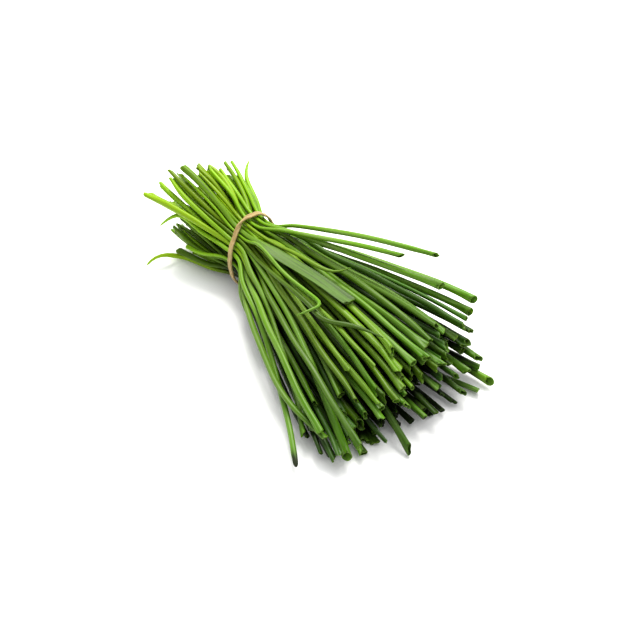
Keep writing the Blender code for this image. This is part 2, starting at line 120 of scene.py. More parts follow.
# Leaves with a node each: name, radius, place in the waist (y, z), long tip, short tip,
# and how far each side bows off its straight run (y, z).
SINGLES = [
    ("leaf_broad", 1.6, (-3.8, 27.5), (66, 1.5, 33), (-40, -7.5, 38), (-1.2, 2), (0, 0)),
    ("leaf_hooked", 0.9, (-1.7, 28.2), (45, 4, 33), (-36, -1, 34), (0, 1), (0, 0)),
    ("leaf_arch_1", 1.0, (10.8, 23.2), (81, 35, 47), (-39, 17, 31), (-2.5, 9.5), (0, 0)),
    ("leaf_arch_2", 1.1, (2.0, 28.1), (68, 27, 44), (-36, 1, 33), (0.5, 4.5), (0, 0)),
    ("leaf_arch_3", 1.15, (6.0, 26.7), (88, 32.5, 38), (-35, 9, 33), (-3, 5), (0, 0)),
    ("leaf_far_1", 1.4, (11.6, 18.4), (98, 40.5, 33), (-34, 22, 25), (0, 4), (0, 0)),
    ("leaf_far_2", 1.3, (12.3, 15.5), (99, 38, 28), (-27, 15, 15), (0, 2), (0, 0)),
    ("leaf_far_3", 1.3, (12.0, 11.9), (111, 32.5, 14), (-25, 14, 11), (0, 0), (0, 0)),
    ("leaf_corner", 1.4, (10.7, 8.4), (117, 35, 4), (-30, 15, 6), (0, 0), (0, 0)),
    ("leaf_curl_2", 0.85, (-8.3, 25.8), (70, -14, 31), (-34, -12, 33), (-1.5, 1), (0, 0)),
    ("leaf_curl_1", 0.8, (-6.6, 26.9), (61, -8.5, 32), (-37, -9, 35), (-3.2, 1), (0, 0)),
    ("leaf_near_1", 1.15, (-10.7, 21.7), (103, -55.5, 3), (-31, -19, 25), (7, 0), (0, 0)),
    ("leaf_near_2", 1.1, (-9.6, 24.0), (94, -47.5, 5), (-40, -12, 37), (5, 0), (0, 0)),
    ("leaf_near_3", 1.45, (-6.6, 25.4), (113, -39, 3), (-40, -10, 36), (3, 0), (0, 0)),
    ("leaf_near_4", 1.0, (-12.2, 17.0), (45, -25, 4), (-22, -14, 14), (2, 0), (0, 0)),
    ("leaf_middle", 1.35, (-1.6, 25.6), (124, -15.5, 3), (-35, -1, 33), (0, 0), (0, 0)),
    ("leaf_thick", 1.75, (-9.4, 22.6), (106, -27, 6), (-46, -22, 28), (0, 0), (0, 1)),
    ("leaf_stray", 1.05, (-7.0, 4.8), (99, -32, 3), (-29, -21, 3), (0, 0), (0, 0)),
]
# Steps from a thin leaf's last point to its curled tip (x, y, z), on the long side.
CURLS = {
    "leaf_hooked": ((3.2, 1.0, -0.2), (2.4, 2.4, 0.0), (1.4, 2.8, 0.8), (0.6, 1.8, 1.4)),
    "leaf_curl_1": ((2.0, -2.0, 1.9), (-0.4, -4.2, 0.3), (-1.1, -4.0, -0.3), (-0.8, -3.0, -0.6)),
    "leaf_curl_2": ((5.3, 4.7, 0.4), (4.5, 2.6, 0.0), (5.4, 2.7, -0.3), (5.5, 2.5, -0.7)),
}
# The same on the short side.
SHORT_CURLS = {
    "leaf_stray": ((-3.0, -7.1, 2.3), (-1.6, -3.6, -1.4), (-0.9, -2.7, -2.6)),
    "leaf_far_1": ((-2.4, 2.2, 1.2), (-1.6, 2.7, 1.3)),
    "leaf_near_1": ((-2.2, -2.4, -2.2), (-2.8, -2.8, -4.4)),
}
# Tips that stand out, each reached by the nearest leaf of a tuft (x, y, z).
LONG_TIPS = [
    (102, 33, 25), (105, 31.5, 20), (98, 20, 30), (100, 20, 27), (111, 34, 8),
    (117, 28.5, 3), (106, 19, 20), (111, 14, 17), (105, 2, 26), (109, 2, 20), (99, -14, 30),
    (97, -4, 29), (103, -5, 24), (106, -41, 3), (93, -42, 3), (99, -31, 12), (108, -14, 10),
    (104, -20, 12), (107, -13, 18), (105, -27, 6), (108, -26, 3), (109, -20, 4), (113, -5, 3),
    (114, 5, 2), (116, 9, 2), (116, 16, 3), (117, 20, 5),
]
SHORT_TIPS = [
    (-44, -16, 33), (-44, -11, 38), (-40, -1, 37), (-38, 1, 34), (-38, 13, 32), (-42, -8, 36),
    (-30, -17, 23), (-42, -12, 22), (-33, -17, 17), (-29, -19, 7), (-25, -15, 6),
]

# %% Draw the leaves
def draw_leaves():
    """Every leaf as a dict: node, radius, place in the waist, two tips and two bows."""
    leaves = []
    for name, radius, waist, long_tip, short_tip, long_bow, short_bow in SINGLES:
        leaves.append(dict(node=name, radius=radius, waist=waist, long=long_tip,
                           short=short_tip, long_bow=long_bow, short_bow=short_bow))
    rng = np.random.default_rng(SEED)
    golden = pi * (3 - sqrt(5))
    for tuft in range(TUFTS):
        reach = 12.2 * sqrt((tuft + 0.5) / TUFTS)
        y = reach * cos(tuft * golden)
        z = BAND_Z - 1.0 + reach * sin(tuft * golden)
        for k in range(LEAVES_IN_TUFT):
            turn = 2 * pi * (k / LEAVES_IN_TUFT + 0.11 * tuft)
            waist = (y + cos(turn), z + sin(turn))
            across = waist[0] / 13.4
            above = (waist[1] - BAND_Z) / 13.4
            radius = float(np.clip(rng.normal(MEAN_RADIUS, 0.15), 0.85, 1.5))
            long_lean = -0.05 + 0.30 * across + rng.normal(0, 0.035)
            long_run = (rng.normal(107, 6.0) - 5.0 * max(across, 0.0)) / sqrt(1 + long_lean ** 2)
            long_y = waist[0] + long_run * long_lean
            long_z = max(15 + 13 * above + 8 * across + rng.normal(0, 2.0), radius)
            short_run = rng.uniform(23, 40)
            short_y = waist[0] + short_run * (0.02 + 0.16 * across + rng.normal(0, 0.05))
            short_z = waist[1] + short_run * (0.08 + 0.13 * above + rng.normal(0, 0.05))
            leaves.append(dict(
                node="tuft_%02d" % (tuft + 1), radius=radius, waist=waist,
                long=(long_run, long_y, long_z),
                short=(-short_run, short_y, max(short_z, radius)),
                long_bow=(rng.normal(0.0, 1.2), rng.normal(1.0, 1.0)),
                short_bow=(rng.normal(0.0, 0.6), rng.normal(0.3, 0.6)),
            ))
    give_tips(leaves, "long", LONG_TIPS)
    give_tips(leaves, "short", SHORT_TIPS)
    return leaves


def give_tips(leaves, side, tips):
    """Each listed tip goes to the tuft leaf that already ends nearest to it."""
    free = [leaf for leaf in leaves if leaf["node"].startswith("tuft")]
    for tip in tips:
        def miss(leaf):
            share = tip[0] / leaf[side][0]
            y, z = np.array(leaf["waist"]) * (1 - share) + np.array(leaf[side][1:]) * share
            return (y - tip[1]) ** 2 + 2.0 * (z - tip[2]) ** 2
        nearest = min(free, key=miss)
        nearest[side] = tip
        free.remove(nearest)


# %% Straight paths from the band
def band_shift(y, z):
    """How far along X the askew band sits at a place in the waist."""
    return -tan(radians(BAND_YAW)) * y - tan(radians(BAND_LEAN)) * (z - BAND_Z)


def leaf_radius(radius, off):
    """Radius at a distance along X from the band: pinched in it, fuller on the short side."""
    pinched = PINCH + (1.0 - PINCH) * np.clip((np.abs(off) - BAND_HALF) / 32.0, 0.0, 1.0)
    side = np.where(np.less(off, 0.0), 1.04, 1.0 + 0.0016 * np.clip(off, 0.0, 200.0))
    return radius * pinched * side


def straight_paths(leaves):
    """First (x, y, z) of every leaf at every station: straight from the band, then its bow."""
    waist = np.array([leaf["waist"] for leaf in leaves], float)
    paths = np.zeros((len(leaves), len(STATIONS), 3))
    paths[:, :, 0] = STATIONS + band_shift(waist[:, 0], waist[:, 1])[:, None] * WITH_BAND
    for side, stations in (("short", SHORT_SIDE), ("long", LONG_SIDE)):
        tips = np.array([leaf[side] for leaf in leaves], float)
        bows = np.array([leaf[side + "_bow"] for leaf in leaves], float)
        start = paths[:, stations[0], 0]
        for k in stations:
            share = (paths[:, k, 0] - start) / (tips[:, 0] - start)
            inner = np.clip(share, 0.0, 1.2)
            paths[:, k, 1:] = waist + (tips[:, 1:] - waist) * share[:, None]
            paths[:, k, 1:] += bows * (4 * inner * (1 - inner))[:, None]
    return paths


# %% Make room between the leaves
def smoother(stations):
    """Matrix that replaces a side's stations with the parabola that fits them best."""
    off = np.abs(STATIONS[stations] - STATIONS[stations[0]]) / 100.0
    powers = np.stack([np.ones_like(off), off, off ** 2], 1)
    weight = np.ones_like(off)
    weight[0] = 4.0
    return powers @ np.linalg.pinv(powers * weight[:, None]) @ np.diag(weight)


def planes_across(paths, leaves):
    """Planes in which room is made: who passes, between which stations and how far along."""
    first = np.array([leaf["short"][0] for leaf in leaves]) - 0.8
    final = np.array([leaf["long"][0] for leaf in leaves]) + 0.8
    radius = np.array([leaf["radius"] for leaf in leaves])
    waist = (paths[:, 3, 0] + paths[:, 4, 0]) / 2
    everyone = np.arange(len(leaves))
    inside = np.full(len(leaves), SHORT_SIDE[0])
    length = paths[:, 4, 0] - paths[:, 3, 0]
    planes = [(everyone, inside, 0.5 * np.ones((len(leaves), 1)), length[:, None],
               leaf_radius(radius, 0.0), np.zeros(len(leaves)))] * 3
    for x in np.arange(STATIONS[0] + 2.0, STATIONS[-1], CHECK_EVERY):
        here = np.nonzero((first <= x) & (x <= final))[0]
        if len(here) < 2:
            continue
        k = np.clip((paths[here, :, 0] <= x).sum(1) - 1, 0, len(STATIONS) - 2)
        run = paths[here, k + 1, 0] - paths[here, k, 0]
        t = (x - paths[here, k, 0]) / run
        off = x - waist[here]
        planes.append((here, k, t[:, None], run[:, None], leaf_radius(radius[here], off), np.abs(off)))
    return planes


def make_room(paths, leaves):
    """Moves the leaves apart in many small rounds, and keeps them in the band and over the floor."""
    start = paths[:, :, 1:].copy()
    radius = np.array([leaf["radius"] for leaf in leaves])
    node = np.array([leaf["node"] for leaf in leaves])
    together = node[:, None] == node[None, :]
    np.fill_diagonal(together, False)
    order = np.arange(len(leaves))
    joined = together & (np.abs(order[:, None] - order[None]) == 1)
    planes = planes_across(paths, leaves)
    smooth = [(side, smoother(side)) for side in (SHORT_SIDE, LONG_SIDE)]
    spots = paths[:, :, 1:]
    for turn in range(ROUNDS):
        left = min((ROUNDS - turn) / LAST_ROUNDS, 1.0)
        waist = spots[:, 3]
        at_waist = waist[:, None] - waist[None]
        push = np.zeros_like(spots)
        weight = np.zeros(spots.shape[:2])
        for here, k, t, run, size, off in planes:
            a, b = spots[here, k], spots[here, k + 1]
            pairs = np.ix_(here, here)
            moves = separation(a * (1 - t) + b * t, (b - a) / run, size, off, at_waist[pairs],
                               together[pairs], joined[pairs], CLEAR + 0.02 + 0.1 * left)
            push[here, k] += moves * (1 - t)
            push[here, k + 1] += moves * t
            weight[here, k] += 1 - t[:, 0]
            weight[here, k + 1] += t[:, 0]
        spots += push / np.maximum(weight, 1.0)[..., None] * 2.4
        stiff = 0.35 * max(left - 0.5, 0.0)
        for side, matrix in smooth:
            fitted = np.einsum("ij,njc->nic", matrix, spots[:, side])
            spots[:, side] += stiff * (fitted - spots[:, side])
        spots[:, 3:5] = spots[:, 3:5].mean(1, keepdims=True)
        if left == 1.0:
            spots += 0.008 * (start - spots)
        hold_in(spots, radius)
    return paths


def separation(at, slope, size, off, at_waist, together, joined, clear):
    """How far each leaf moves in y and z at one plane, to stand clear of the others.

    Near the band the leaves keep the order that they have in the waist. The leaves of a
    tuft may touch there, and each is drawn to the next one.
    """
    apart = at[:, None] - at[None]
    lean = (slope[:, None] + slope[None]) / 2
    straight = (apart ** 2).sum(-1)
    along = (apart * lean).sum(-1) ** 2 / (1 + (lean ** 2).sum(-1))
    distance = np.sqrt(np.maximum(straight - along, 1e-6))
    both = size[:, None] + size[None]
    banded = np.maximum(off[:, None], off[None])
    drawn = joined & (banded <= BAND_HALF)
    wanted = np.where(together & (banded <= 2 * BAND_HALF), 0.85 * both, both + clear)
    wanted = np.where(drawn, 0.74 * both, wanted)
    over = wanted - distance
    np.fill_diagonal(over, 0.0)
    over = np.where(drawn, over, np.maximum(over, 0.0))
    way = apart + at_waist * (0.6 * np.exp(-banded / 14.0))[..., None]
    unit = way / np.sqrt(np.maximum((way ** 2).sum(-1), 1e-6))[..., None]
    count = np.maximum((over != 0).sum(1), 1)
    return (unit * over[..., None]).sum(1) * 0.45 / np.sqrt(count)[:, None]


def hold_in(spots, radius):
    """Keeps every leaf inside the band at the waist and above the floor elsewhere."""
    centre = np.array([0.0, BAND_Z])
    for k, x in enumerate(STATIONS):
        size = leaf_radius(radius, x)
        lowest = 0.85 * size
        if abs(x) <= BAND_HALF:
            limit = BAND_INNER - CLEAR - size
            off = spots[:, k] - centre
            far = np.maximum(np.sqrt((off ** 2).sum(1)), limit)
            spots[:, k] = centre + off * (limit / far)[:, None]
            lowest = BAND_THICK + CLEAR + size
        spots[:, k, 1] = np.maximum(spots[:, k, 1], lowest)


# %% Lay the broad and curled leaves over the rest
def place_on(path, x):
    """(y, z) of one leaf's path at x."""
    return np.array([np.interp(x, path[:, 0], path[:, 1]), np.interp(x, path[:, 0], path[:, 2])])


def half_sizes(leaf, x):
    """Half width and half height of a leaf at x: the broad leaf is flat past the band."""
    off = x - band_shift(*leaf["waist"])
    size = float(leaf_radius(leaf["radius"], off)) * SIDE_GROWTH
    if leaf["node"] != "leaf_broad":
        return size, size
    flat = min(max((off - 2.2 * BAND_HALF) / 14.0, 0.0), 1.0)
    return size * (1 - flat) + BROAD_HALF_WIDTH * flat, size * (1 - flat) + BROAD_HALF_THICK * flat


def top_under(paths, leaves, own, x, y, reach):
    """Height of the highest leaf within reach of a place, leaving one leaf out."""
    top = 0.0
    for i, leaf in enumerate(leaves):
        if i == own or not leaf["short"][0] - 2.0 < x < leaf["long"][0] + 2.0:
            continue
        spot = place_on(paths[i], x)
        wide, high = half_sizes(leaf, x)
        if abs(spot[0] - y) < reach + wide:
            top = max(top, spot[1] + high)
    return top


def lay_over(paths, leaves):
    """Settles the broad leaf and the curled ones on whatever lies under them."""
    for i, leaf in enumerate(leaves):
        leaf["hops"] = [np.array(hop) for hop in CURLS.get(leaf["node"], ())]
        if leaf["node"] != "leaf_broad" and not leaf["hops"]:
            continue
        for k in LONG_SIDE[1:]:
            x, y = paths[i, k, :2]
            wide, high = half_sizes(leaf, x)
            curling = leaf["hops"] and x > leaf["long"][0] - 14.0
            reach = wide + (CURL_REACH if curling else 0.2)
            paths[i, k, 2] = top_under(paths, leaves, i, x, y, reach) + CLEAR + high
        at = np.array([leaf["long"][0], *place_on(paths[i], leaf["long"][0])])
        for k, hop in enumerate(leaf["hops"]):
            after = at + hop
            size = half_sizes(leaf, after[0])[1]
            for share in (0.25, 0.5, 0.75, 1.0):
                x, y = at[0] + share * hop[0], at[1] + share * hop[1]
                after[2] = max(after[2], top_under(paths, leaves, i, x, y, size + 0.7) + CLEAR + size)
            leaf["hops"][k] = after - at
            at = after
    return paths


def grow_paths():
    """The leaves and the path of each, after room is made between them."""
    leaves = draw_leaves()
    paths = make_room(straight_paths(leaves), leaves)
    return leaves, lay_over(paths, leaves)


def centre_line(leaf, path):
    """Points of one leaf from its short tip to its long tip, in millimetres."""
    ends = (leaf["short"][0], leaf["long"][0])
    xs = [ends[0]] + [x for x in path[:, 0] if ends[0] + 2 < x < ends[1] - 2] + [ends[1]]
    points = [np.array([x, *place_on(path, x)]) for x in xs]
    for hop in leaf["hops"]:
        points.append(points[-1] + hop)
    for hop in SHORT_CURLS.get(leaf["node"], ()):
        points.insert(0, points[0] + np.array(hop))
    return np.array(points)


leaves, paths = grow_paths()
print("leaves:", len(leaves))

# %% [markdown]
# ## One fine leaf
# A chive leaf is a soft hollow tube. Its outline wavers, it is never perfectly
# round, and the knife leaves a slanted, squashed opening at each end. Each leaf
# is lofted from rings of points: from inside one cut end, over its rim, along the
# whole outside, over the other rim and inside again. A curled or darkened tip
# narrows to a closed end instead, and the broad flat leaf is closed at both.

# %% Smooth line through a leaf's points
def smooth_line(points, spacing=2.6):
    """Points about a spacing apart on a smooth curve through the given ones, and their run."""
    points = np.asarray(points, float)
    run = np.concatenate([[0.0], np.cumsum(np.linalg.norm(np.diff(points, axis=0), axis=1))])
    slope = np.gradient(points, run, axis=0)
    count = max(int(run[-1] / spacing), 12)
    at = np.linspace(0.0, run[-1], count)
    k = np.clip(np.searchsorted(run, at, side="right") - 1, 0, len(run) - 2)
    width = (run[k + 1] - run[k])[:, None]
    t = (at[:, None] - run[k][:, None]) / width
    line = ((2 * t ** 3 - 3 * t ** 2 + 1) * points[k] + (t ** 3 - 2 * t ** 2 + t) * width * slope[k]
            + (3 * t ** 2 - 2 * t ** 3) * points[k + 1] + (t ** 3 - t ** 2) * width * slope[k + 1])
    return line, at


def unit(v):
    return v / np.maximum(np.linalg.norm(v, axis=-1, keepdims=True), 1e-9)


# %% The traits of a leaf
AROUND = 14  # points in a ring
WALL = 0.30  # thickness of the leaf's wall
INSIDE = 3.5  # how far the open end is modelled inwards
DARK_TIPS = ("leaf_near_1",)
BRIGHTEST_DRAWN = 0.88  # tones run from 0, dark, to 1, bright
# Tones of the named leaves. The arching ones are set brightest partly as painted highlight for the light they
# catch, and a bright tone also brings more bloom; the others are the leaves' own colour.
TONES = {
    "leaf_arch_1": 1.0, "leaf_arch_2": 1.0, "leaf_arch_3": 0.95, "leaf_near_1": 0.8, "leaf_near_3": 0.85,
    "leaf_far_1": 0.85, "leaf_far_2": 0.7, "leaf_thick": 0.4, "leaf_stray": 0.6, "leaf_broad": 0.25,
}
CURLED_END = (0.28, 15.0)  # share of its width that a curl ends with, and how far it narrows
DARK_END = (0.6, 6.0)  # the same for a darkened tip
PRESSED = 11.0  # how far from a cut the knife has pressed the leaf
TROUGH = 1.15  # rise of the broad leaf's edges
RIPPLE = 0.12  # height of the ridges along the broad leaf
BROAD_SLANT = 0.45
ABOVE_TABLE = 0.02
WAVER_FROM = 12.0  # a leaf runs straight as far as this to either side of the band
WAVER_FULL = 25.0  # and wavers fully this much further out
CURL_ROUNDS = 5


def leaf_habit(leaf, index):
    """The small random traits of one leaf."""
    rng = np.random.default_rng(1000 + index)
    return dict(
        wave=rng.uniform(0.05, 0.34, 2), wave_length=rng.uniform(34.0, 80.0, 2),
        wave_phase=rng.uniform(0, 2 * pi, 2), oval=rng.uniform(0.03, 0.15), oval_turn=rng.uniform(0, pi),
        oval_twist=rng.uniform(-0.010, 0.010), ribs=rng.integers(4, 7), rib_depth=rng.uniform(0.015, 0.035),
        rib_phase=rng.uniform(0, 2 * pi), slant=rng.uniform(0.1, 1.3, 2),
        slant_turn=rng.uniform(0, 2 * pi, 2),
        squash=rng.uniform(0.3, 0.6, 2), squash_turn=rng.uniform(0, pi, 2),
        tone=TONES.get(leaf["node"], rng.uniform(0, BRIGHTEST_DRAWN)),
        dark=leaf["node"] in DARK_TIPS, offset=rng.uniform(0, 50),
    )


# %% Rings along one leaf
def leaf_rings(leaf, path, habit):
    """Rings of one leaf as (points, distance along, cut, inside, darkness) in millimetres."""
    line, run = smooth_line(centre_line(leaf, path))
    if leaf["node"] in CURLS:
        for _ in range(CURL_ROUNDS):  # rounds the corners between the steps of a curl
            line[-12:-1] = (line[-13:-2] + 2 * line[-12:-1] + line[-11:]) / 4
    total = run[-1]
    free = np.clip((np.abs(line[:, 0]) - WAVER_FROM) / WAVER_FULL, 0.0, 1.0)
    free = free * np.clip((total - run) / 6.0, 0.3, 1.0)
    for axis in (0, 1):
        swing = np.sin(2 * pi * run / habit["wave_length"][axis] + habit["wave_phase"][axis])
        line[:, axis + 1] += habit["wave"][axis] * swing * free
    tangent = unit(np.gradient(line, run, axis=0))
    side = unit(np.cross((0.0, 0.0, 1.0), tangent))
    up = np.cross(tangent, side)
    angle = 2 * pi * np.arange(AROUND) / AROUND
    broad = leaf["node"] == "leaf_broad"
    tapered = (leaf["node"] in SHORT_CURLS, leaf["node"] in CURLS or habit["dark"])

    def at(values, s):
        return np.array([np.interp(s, run, values[:, c]) for c in range(3)])

    def ring(s, share=1.0, end=None, push=0.0):
        """A ring at run s, at a share of full width; end 0 or 1 gives it that end's slanted cut."""
        centre, t, w, u = at(line, s), at(tangent, s), at(side, s), at(up, s)
        wide, high = half_sizes(leaf, centre[0])
        size = high
        if not broad:
            wide, high = wide / SIDE_GROWTH, high / SIDE_GROWTH
        for e, near in ((0, s), (1, total - s)):
            if tapered[e]:
                least, length = DARK_END if habit["dark"] and e else CURLED_END
                narrow = least + (1 - least) * min(near / length, 1.0) ** 0.8
                wide, high = wide * narrow, high * narrow
        turn = angle - habit["oval_turn"] - habit["oval_twist"] * s
        radial = 1 + habit["oval"] * np.cos(2 * turn)
        radial += habit["rib_depth"] * np.cos(habit["ribs"] * angle + habit["rib_phase"])
        for e, near in ((0, s), (1, total - s)):
            press = 0.0 if broad else habit["squash"][e] * np.clip(1 - near / PRESSED, 0, 1) ** 1.5
            flat = np.cos(2 * (angle - habit["squash_turn"][e]))
            radial = radial * (1 - press * np.where(flat > 0, 1.55, 0.75) * flat)
        offset = (np.cos(angle) * wide * radial)[:, None] * w + (np.sin(angle) * high * radial)[:, None] * u
        offset = offset * share
        if broad:
            across = np.cos(angle)[:, None]
            lift = TROUGH * np.abs(across) ** 1.4 + RIPPLE * np.cos(3 * pi * across)
            offset += lift * u * min(max((centre[0] - 14.0) / 20.0, 0.0), 1.0)
        if end is not None:
            lean = habit["slant"][end] * share * size * np.cos(angle - habit["slant_turn"][end])
            if broad:
                lean = BROAD_SLANT * share * wide * np.cos(angle)
            offset = offset + lean[:, None] * t
        spots = centre + offset + t * push
        spots[:, 2] = np.maximum(spots[:, 2], ABOVE_TABLE)
        return spots

    hollow = max(1.0 - WALL / leaf["radius"], 0.55)
    middle = (1 + hollow) / 2
    opened = [(INSIDE, hollow * 0.85, 0.0, 1.0), (2.0, hollow, 0.0, 1.0), (0.2, hollow, 0.5, 0.8),
              (0.0, middle, 1.0, 0.0), (0.2, 1.0, 0.8, 0.0), (0.6, 1.0, 0.0, 0.0)]

    def end_rings(e):
        """The rings of one end, from the innermost point of it outwards to the leaf's side."""
        way = (-1.0, 1.0)[e]
        if broad:
            here = (0.0, total)[e]
            return [(ring(here, 0.3, e), here, 1.0, 0.0, 0.0), (ring(here, 0.93, e), here, 1.0, 0.0, 0.0),
                    (ring(here - 0.2 * way), here, 0.0, 0.0, 0.0)]
        if tapered[e]:
            here = (0.0, total)[e]
            return [(ring(here, 0.35, None, 0.35 * way), here, 0.0, 0.0, float(habit["dark"] and e)),
                    (ring(here - 0.3 * way, 0.8), here, 0.0, 0.0, float(habit["dark"] and e))]
        rings = []
        for s, share, cut, inside in opened:
            here = (s, total - s)[e]
            push = 0.1 * way if share == middle else 0.0
            rings.append((ring(here, share, e if s < 1 else None, push), here, cut, inside, 0.0))
        return rings

    rings = end_rings(0)
    for s in [1.3, *run[(run > 2.4) & (run < total - 2.4)], total - 1.3]:
        dark = float(np.clip(1 - (total - s) / 12.0, 0, 1)) if habit["dark"] else 0.0
        rings.append((ring(s), s, 0.0, 0.0, dark))
    return rings + end_rings(1)[::-1]


# %% Painted shade: how well each point is covered by the leaves above it
SPACE_SIZE = (260, 160, 90)  # cells of one millimetre along x, y and z
SPACE_START = (90.0, 80.0, 0.0)  # how far the first cell lies before the layout's origin
BLUR_ACROSS = (-2, -1, 0, 1, 2)
BLUR_ALONG = (-2, 0, 2)
# Painted shade: the short side gets only a share of it, and the foot of the long end's cut face gets extra.
SHORT_SIDE_SHADE_SHARE = 0.3  # share of the cover that counts on the short side, which is loose and light
FRONT_PAINTED_SHADE = 0.46  # cover at the foot of the long end's cut face


def leafy_space():
    """How many cells hold leaf under each height, blurred a little sideways."""
    space = np.zeros(SPACE_SIZE)
    for leaf, path in zip(leaves, paths):
        for x in np.arange(leaf["short"][0], leaf["long"][0], 1.0):
            y, z = place_on(path, x)
            wide, high = half_sizes(leaf, x)
            middle = y + SPACE_START[1] + 0.5
            rows = slice(int(middle - wide), int(middle + wide))
            levels = slice(int(max(z - high, 0.0) + 0.5), int(z + high + 0.5))
            space[int(x + SPACE_START[0]), rows, levels] = 1.0
    space = np.mean([np.roll(space, shift, axis=1) for shift in BLUR_ACROSS], axis=0)
    space = np.mean([np.roll(space, shift, axis=0) for shift in BLUR_ALONG], axis=0)
    return np.cumsum(space, axis=2)


SPACE = leafy_space()


def painted_shade_from_cover(spots):
    """Painted shade for some points: how little light reaches them past the leaves over them, and low down at
    the cut face.
    """
    i, j, k = (spots + SPACE_START).astype(int).T
    near = (SPACE[i, j, k + 7] - SPACE[i, j, k + 1]) / 6.0
    far = (SPACE[i, j, k + 16] - SPACE[i, j, k + 1]) / 15.0
    counted = np.interp(spots[:, 0], (-15.0, 10.0), (SHORT_SIDE_SHADE_SHARE, 1.0))
    # painted shade low down at the long end's cut face, which faces away from the lamp
    painted_front_shade = np.interp(spots[:, 0], (72.0, 104.0), (0.0, 1.0))
    painted_front_shade = painted_front_shade * np.interp(spots[:, 2], (5.0, 19.0), (1.0, 0.0))
    painted_front_shade = painted_front_shade * np.interp(np.abs(spots[:, 1] - 3.0), (12.0, 27.0), (1.0, 0.0))
    return (0.6 * near + 0.7 * far) * counted + FRONT_PAINTED_SHADE * painted_front_shade


print("space holds", int(SPACE[:, :, -1].sum()), "cubic millimetres of leaf")

# %% From rings to a mesh with its own notes for the materials
AGE_START = 50.0  # how far before the band's middle a leaf's age is nought
AGE_SPAN = 170.0  # length over which it rises to one


class Leaves:
    """Collects the rings of one piece's leaves, and what the materials want to know of each point."""

    def __init__(self):
        self.points, self.faces = [], []
        self.grain, self.age, self.cut, self.inside, self.dark, self.tone = [], [], [], [], [], []
        self.shade = []

    def add(self, rings, habit):
        start = len(self.points)
        angle = 2 * pi * np.arange(AROUND) / AROUND
        for spots, s, cut, inside, dark in rings:
            self.points.extend((spots - (BAND_FOOT, 0.0, 0.0)) * MM)
            # painted shade of each point, which the material turns into darker colour
            self.shade.extend(painted_shade_from_cover(spots))
            for a in angle:
                self.grain.append((cos(a), sin(a), 0.02 * s + habit["offset"]))
            self.age.extend(spots[:, 0])
            self.cut.extend([cut] * AROUND)
            self.inside.extend([inside] * AROUND)
            self.dark.extend([dark] * AROUND)
            self.tone.extend([habit["tone"]] * AROUND)
        for k in range(len(rings) - 1):
            for i in range(AROUND):
                a, b = start + k * AROUND + i, start + k * AROUND + (i + 1) % AROUND
                self.faces.append((a, b, b + AROUND, a + AROUND))
        last = start + (len(rings) - 1) * AROUND
        self.faces.append(tuple(start + i for i in range(AROUND))[::-1])
        self.faces.append(tuple(last + i for i in range(AROUND)))

    def mesh(self, name):
        mesh = bpy.data.meshes.new(name)
        mesh.from_pydata([tuple(p) for p in self.points], [], self.faces)
        mesh.shade_smooth()
        note(mesh, "grain", "FLOAT_VECTOR", np.array(self.grain))
        age = (np.array(self.age) + AGE_START) / AGE_SPAN
        for label, values in (("age", age), ("cut", self.cut), ("inside", self.inside),
                              ("dark", self.dark), ("tone", self.tone), ("shade", self.shade)):
            note(mesh, label, "FLOAT", np.array(values))
        mesh.update()
        return mesh


def note(mesh, label, kind, values):
    """Stores one value for each point of a mesh, which a material reads by its label."""
    attribute = mesh.attributes.new(label, kind, "POINT")
    field = "vector" if kind == "FLOAT_VECTOR" else "value"
    attribute.data.foreach_set(field, values.astype(np.float32).ravel())


# %% [markdown]
# ## Shared effects for the leaf materials
# Fine streaks, the change from pale base to deep tip, waxy bloom that also serves
# as painted highlight, browned tips and painted shade appear on every leaf, each
# time with other values. So each effect is a node group, made once and placed in
# each material.

# %% Node helpers
def new_group(name, inputs, outputs):
    """A shader node group with named sockets: inputs as (kind, name, value), outputs as (kind, name)."""
    group = bpy.data.node_groups.new(name, "ShaderNodeTree")
    for kind, label, value in inputs:
        socket = group.interface.new_socket(label, in_out="INPUT", socket_type="NodeSocket" + kind)
        if value is not None:
            socket.default_value = value
    for kind, label in outputs:
        group.interface.new_socket(label, in_out="OUTPUT", socket_type="NodeSocket" + kind)
    return group, group.nodes.new("NodeGroupInput"), group.nodes.new("NodeGroupOutput")


def wire(tree, value, socket):
    """Feeds a socket from another socket, or sets it to a plain value."""
    if isinstance(value, bpy.types.NodeSocket):
        tree.links.new(value, socket)
    else:
        socket.default_value = value


def math(tree, operation, a, b=0.0, clamp=False):
    node = tree.nodes.new("ShaderNodeMath")
    node.operation = operation
    node.use_clamp = clamp
    wire(tree, a, node.inputs[0])
    wire(tree, b, node.inputs[1])
    return node.outputs[0]


def blend_colour(tree, share, a, b, kind="MIX"):
    node = tree.nodes.new("ShaderNodeMix")
    node.data_type = "RGBA"
    node.blend_type = kind
    wire(tree, share, node.inputs["Factor"])
    wire(tree, a, node.inputs["A"])
    wire(tree, b, node.inputs["B"])
    return node.outputs["Result"]


def ranged(tree, value, low, high, out_low=0.0, out_high=1.0):
    node = tree.nodes.new("ShaderNodeMapRange")
    wire(tree, value, node.inputs["Value"])
    for label, number in (("From Min", low), ("From Max", high), ("To Min", out_low), ("To Max", out_high)):
        wire(tree, number, node.inputs[label])
    return node.outputs["Result"]


def noise(tree, vector, scale, detail=2.0, roughness=0.5):
    node = tree.nodes.new("ShaderNodeTexNoise")
    wire(tree, vector, node.inputs["Vector"])
    wire(tree, scale, node.inputs["Scale"])
    node.inputs["Detail"].default_value = detail
    node.inputs["Roughness"].default_value = roughness
    return node.outputs["Fac"]


def stretched(tree, vector, scale):
    node = tree.nodes.new("ShaderNodeVectorMath")
    node.operation = "MULTIPLY"
    wire(tree, vector, node.inputs[0])
    node.inputs[1].default_value = scale
    return node.outputs[0]


def noted(tree, label):
    """The stored value of a mesh point under this label."""
    node = tree.nodes.new("ShaderNodeAttribute")
    node.attribute_name = label
    return node.outputs["Vector" if label == "grain" else "Fac"]


